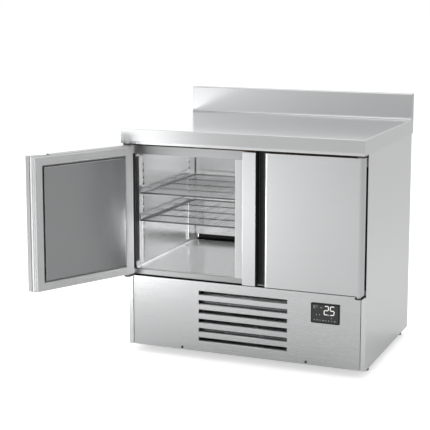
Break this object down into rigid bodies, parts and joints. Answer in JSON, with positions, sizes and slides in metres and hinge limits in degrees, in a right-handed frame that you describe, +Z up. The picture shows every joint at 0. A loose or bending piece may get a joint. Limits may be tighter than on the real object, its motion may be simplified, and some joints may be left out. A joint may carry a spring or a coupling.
{
  "type": "undercounter refrigerator",
  "caption": "Stainless refrigerated counter with a rear upstand, hinged doors with full-height finger channels, wire shelves and a louvred plant compartment below.",
  "frame": {"origin": "centre of the whole object's footprint on the floor, with the left door standing open as stored", "axes": "+X to the right seen from the front, +Y from the doors towards the wall, +Z up"},
  "size_m": [1.0992, 1.076, 0.95],
  "materials": {
    "stainless_steel": "fine brushed stainless steel",
    "liner_steel": "bright stainless steel",
    "galvanised_steel": "galvanised sheet",
    "foam": "poured polyurethane foam",
    "board": "water-resistant board",
    "black_plastic": "black moulded plastic",
    "display_lens": "dark display window",
    "black_steel": "black oxide",
    "pin_steel": "ground steel",
    "frame_plastic": "light grey plastic",
    "gasket_rubber": "light grey magnetic gasket",
    "white_plastic": "white plastic",
    "foot_plastic": "black moulded foot",
    "shelf_wire": "bright wire",
    "coil_aluminium": "aluminium fins",
    "compressor_paint": "black gloss paint",
    "mount_rubber": "black rubber",
    "copper": "bare copper"
  },
  "bodies": {
    "cabinet": {"worktop": "stainless_steel", "worktop_core": "board", "upstand": "stainless_steel", "side_panel_left": "stainless_steel", "side_panel_right": "stainless_steel", "back_panel": "galvanised_steel", "rear_service_panel": "galvanised_steel", "base_pan": "galvanised_steel", "liner": "liner_steel", "cabinet_insulation": "foam", "front_top_rail": "stainless_steel", "front_bottom_rail": "stainless_steel", "mullion": "stainless_steel", "jamb_trims": "black_plastic", "front_panel": "stainless_steel", "screws": "black_steel", "controller_housing": "black_plastic", "controller_lens": "display_lens", "pilasters": "liner_steel", "shelf_runners": "liner_steel", "shelf_left_lower": "shelf_wire", "shelf_left_upper": "shelf_wire", "shelf_right_lower": "shelf_wire", "shelf_right_upper": "shelf_wire", "evaporator_cover": "liner_steel", "evaporator_coil": "coil_aluminium", "evaporator_fan_motor": "black_plastic", "drain_pipe": "white_plastic", "compressor": "compressor_paint", "compressor_mounts": "mount_rubber", "condenser_coil": "coil_aluminium", "condenser_fan_shroud": "galvanised_steel", "condenser_fan_motor": "black_plastic", "filter_drier": "copper", "refrigerant_pipes": "copper", "condensate_tray": "galvanised_steel", "electrical_box": "black_plastic", "mains_inlet": "black_plastic", "hinge_brackets": "black_steel", "hinge_pins": "pin_steel"},
    "left_door": {"left_door_skin": "stainless_steel", "left_door_core": "foam", "left_door_grip_channel": "black_plastic", "left_door_inner_frame": "frame_plastic", "left_door_inner_panel": "liner_steel", "left_door_gasket": "gasket_rubber", "left_door_bushes": "white_plastic"},
    "right_door": {"right_door_skin": "stainless_steel", "right_door_core": "foam", "right_door_grip_channel": "black_plastic", "right_door_inner_frame": "frame_plastic", "right_door_inner_panel": "liner_steel", "right_door_gasket": "gasket_rubber", "right_door_bushes": "white_plastic"},
    "evaporator_fan": {"evaporator_fan_rotor": "black_plastic"},
    "condenser_fan": {"condenser_fan_rotor": "black_plastic"},
    "foot_front_left": {"foot_front_left": "foot_plastic"},
    "foot_front_right": {"foot_front_right": "foot_plastic"},
    "foot_rear_left": {"foot_rear_left": "foot_plastic"},
    "foot_rear_right": {"foot_rear_right": "foot_plastic"}
  },
  "joints": [
    {"name": "left_door", "type": "hinge", "parent": "cabinet", "child": "left_door", "pos_m": [-0.34938, -0.14302, 0.548], "axis": [0, 0, -1], "range_deg": [-116, 14]},
    {"name": "right_door", "type": "hinge", "parent": "cabinet", "child": "right_door", "pos_m": [0.53362, -0.14302, 0.548], "axis": [0, 0, 1], "range_deg": [0, 130]},
    {"name": "evaporator_fan_spin", "type": "hinge", "parent": "cabinet", "child": "evaporator_fan", "pos_m": [0.00412, 0.42698, 0.64], "axis": [0, -1, 0], "continuous": true},
    {"name": "condenser_fan_spin", "type": "hinge", "parent": "cabinet", "child": "condenser_fan", "pos_m": [0.09012, -0.02402, 0.154], "axis": [0, -1, 0], "continuous": true},
    {"name": "foot_front_left_screw", "type": "slide", "parent": "cabinet", "child": "foot_front_left", "axis": [0, 0, -1], "range_m": [0, 0.012]},
    {"name": "foot_front_right_screw", "type": "slide", "parent": "cabinet", "child": "foot_front_right", "axis": [0, 0, -1], "range_m": [0, 0.012]},
    {"name": "foot_rear_left_screw", "type": "slide", "parent": "cabinet", "child": "foot_rear_left", "axis": [0, 0, -1], "range_m": [0, 0.012]},
    {"name": "foot_rear_right_screw", "type": "slide", "parent": "cabinet", "child": "foot_rear_right", "axis": [0, 0, -1], "range_m": [0, 0.012]}
  ]
}
